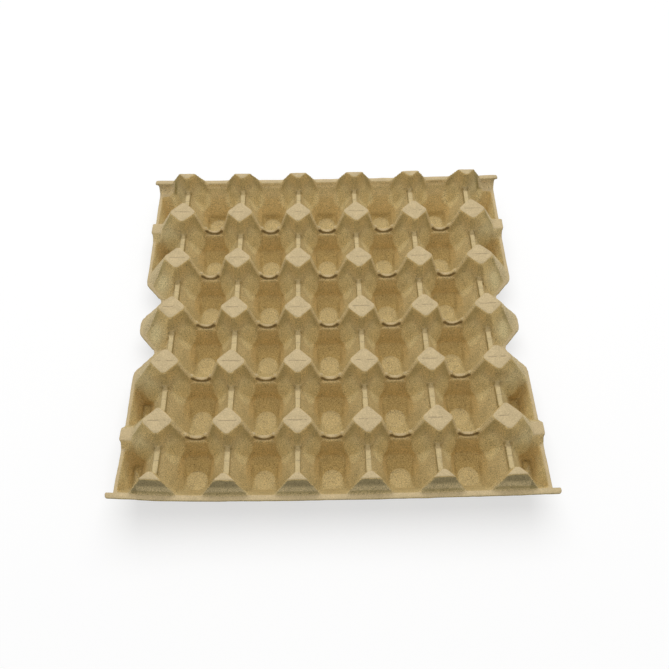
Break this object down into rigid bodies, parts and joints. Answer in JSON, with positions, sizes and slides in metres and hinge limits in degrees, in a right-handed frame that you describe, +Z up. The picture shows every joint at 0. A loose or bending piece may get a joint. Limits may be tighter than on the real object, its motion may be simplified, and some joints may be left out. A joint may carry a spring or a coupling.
{
  "type": "pulp egg tray",
  "caption": "Square moulded pulp tray of round-bottomed egg cups between flat-topped posts, with a flanged front and back edge, side rims with finger notches, and corner ears.",
  "frame": {"origin": "on the table, under the middle of the tray", "axes": "+Z up, +X to the right along the rows of five cups, -Y towards the viewer, along the columns of six cups"},
  "size_m": [0.302, 0.2948, 0.0476],
  "materials": {
    "pulp": "rough, matt, unbleached moulded fibre"
  },
  "bodies": {
    "root": {"egg_tray": "pulp"}
  },
  "joints": []
}
